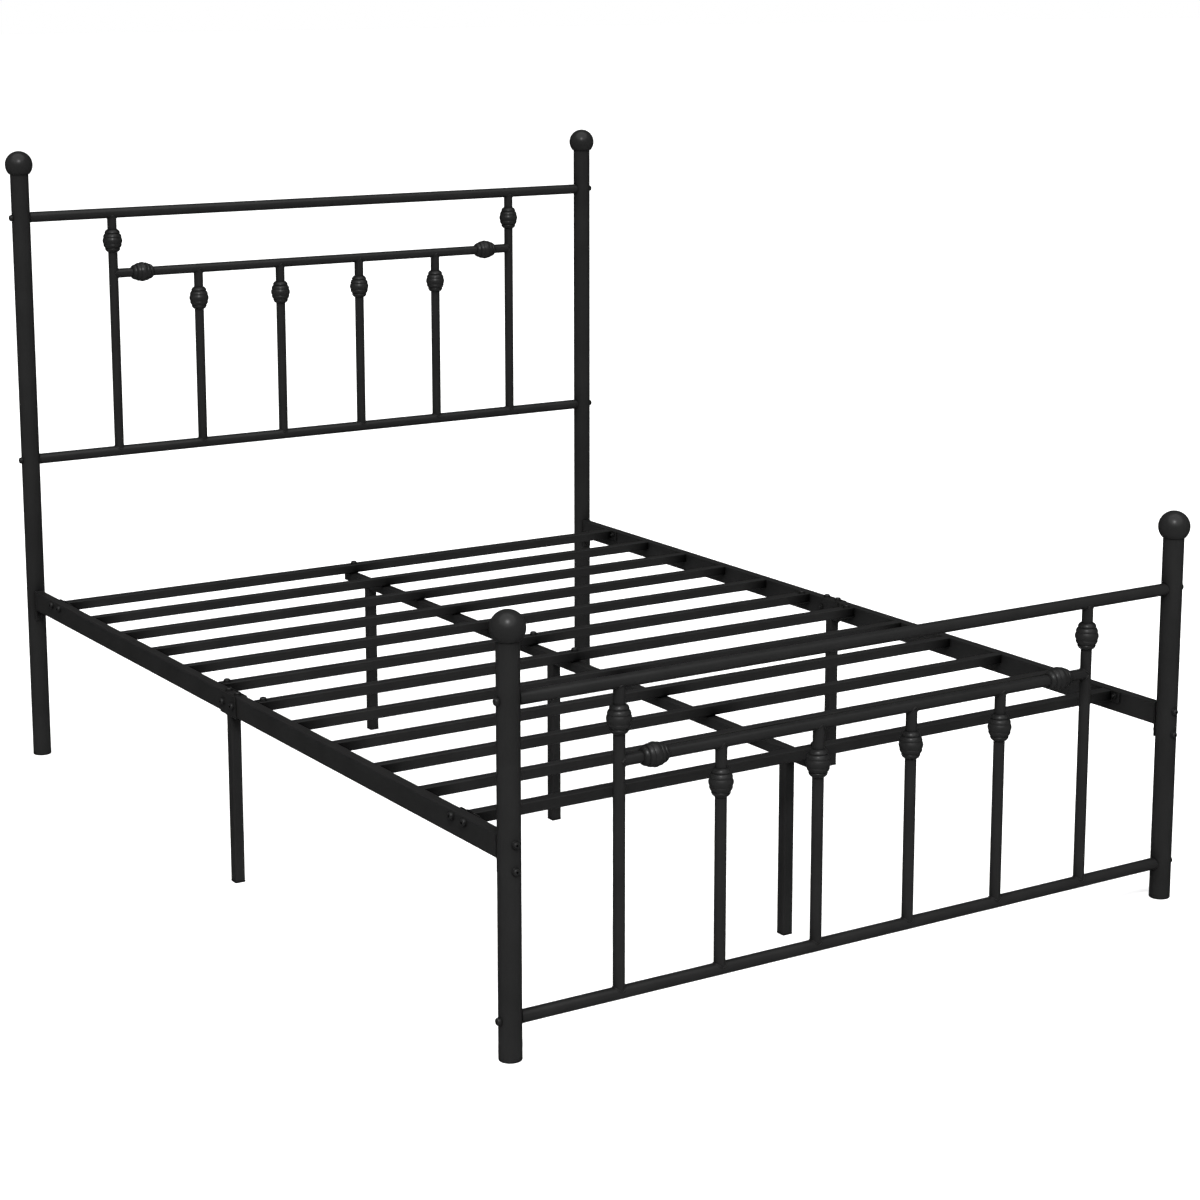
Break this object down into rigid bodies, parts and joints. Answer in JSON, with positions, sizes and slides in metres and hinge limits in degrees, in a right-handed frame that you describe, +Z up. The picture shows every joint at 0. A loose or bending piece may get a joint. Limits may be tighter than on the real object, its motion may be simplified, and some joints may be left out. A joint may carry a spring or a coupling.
{
  "type": "metal bed frame",
  "caption": "Black tubular steel bed frame with a grille headboard and footboard on ball-topped posts, bolted two-piece side rails, steel slats and a centre beam on legs.",
  "frame": {"origin": "on the floor, under the middle of the bed", "axes": "+Z up, +Y towards the headboard, +X towards the right side as seen from the foot"},
  "size_m": [1.437, 2.027, 1.2938],
  "materials": {
    "black_powder_coat": "satin black powder coat",
    "black_plastic": "satin black moulded plastic",
    "black_oxide_steel": "black oxide"
  },
  "bodies": {
    "root": {"centre_beam_foot": "black_powder_coat", "centre_beam_head": "black_powder_coat", "centre_beam_joiner": "black_oxide_steel", "corner_bolt_foot_left_lower": "black_oxide_steel", "corner_bolt_foot_left_upper": "black_oxide_steel", "corner_bolt_foot_right_lower": "black_oxide_steel", "corner_bolt_foot_right_upper": "black_oxide_steel", "corner_bolt_head_left_lower": "black_oxide_steel", "corner_bolt_head_left_upper": "black_oxide_steel", "corner_bolt_head_right_lower": "black_oxide_steel", "corner_bolt_head_right_upper": "black_oxide_steel", "finial_foot_left": "black_plastic", "finial_foot_right": "black_plastic", "finial_head_left": "black_plastic", "finial_head_right": "black_plastic", "footboard_grille": "black_powder_coat", "headboard_grille": "black_powder_coat", "leg_cap_centre_foot": "black_plastic", "leg_cap_centre_head": "black_plastic", "leg_cap_centre_middle": "black_plastic", "leg_cap_left": "black_plastic", "leg_cap_right": "black_plastic", "leg_centre_foot": "black_powder_coat", "leg_centre_head": "black_powder_coat", "leg_centre_middle": "black_powder_coat", "leg_left": "black_powder_coat", "leg_right": "black_powder_coat", "panel_bolt_foot_left_bottom": "black_oxide_steel", "panel_bolt_foot_left_top": "black_oxide_steel", "panel_bolt_foot_right_bottom": "black_oxide_steel", "panel_bolt_foot_right_top": "black_oxide_steel", "panel_bolt_head_left_bottom": "black_oxide_steel", "panel_bolt_head_left_top": "black_oxide_steel", "panel_bolt_head_right_bottom": "black_oxide_steel", "panel_bolt_head_right_top": "black_oxide_steel", "post_cap_foot_left": "black_plastic", "post_cap_foot_right": "black_plastic", "post_cap_head_left": "black_plastic", "post_cap_head_right": "black_plastic", "post_foot_left": "black_powder_coat", "post_foot_right": "black_powder_coat", "post_head_left": "black_powder_coat", "post_head_right": "black_powder_coat", "side_rail_foot_left": "black_powder_coat", "side_rail_foot_right": "black_powder_coat", "side_rail_head_left": "black_powder_coat", "side_rail_head_right": "black_powder_coat", "slat_01": "black_powder_coat", "slat_02": "black_powder_coat", "slat_03": "black_powder_coat", "slat_04": "black_powder_coat", "slat_05": "black_powder_coat", "slat_06": "black_powder_coat", "slat_07": "black_powder_coat", "slat_08": "black_powder_coat", "slat_09": "black_powder_coat", "slat_10": "black_powder_coat", "slat_11": "black_powder_coat", "slat_12": "black_powder_coat"}
  },
  "joints": []
}
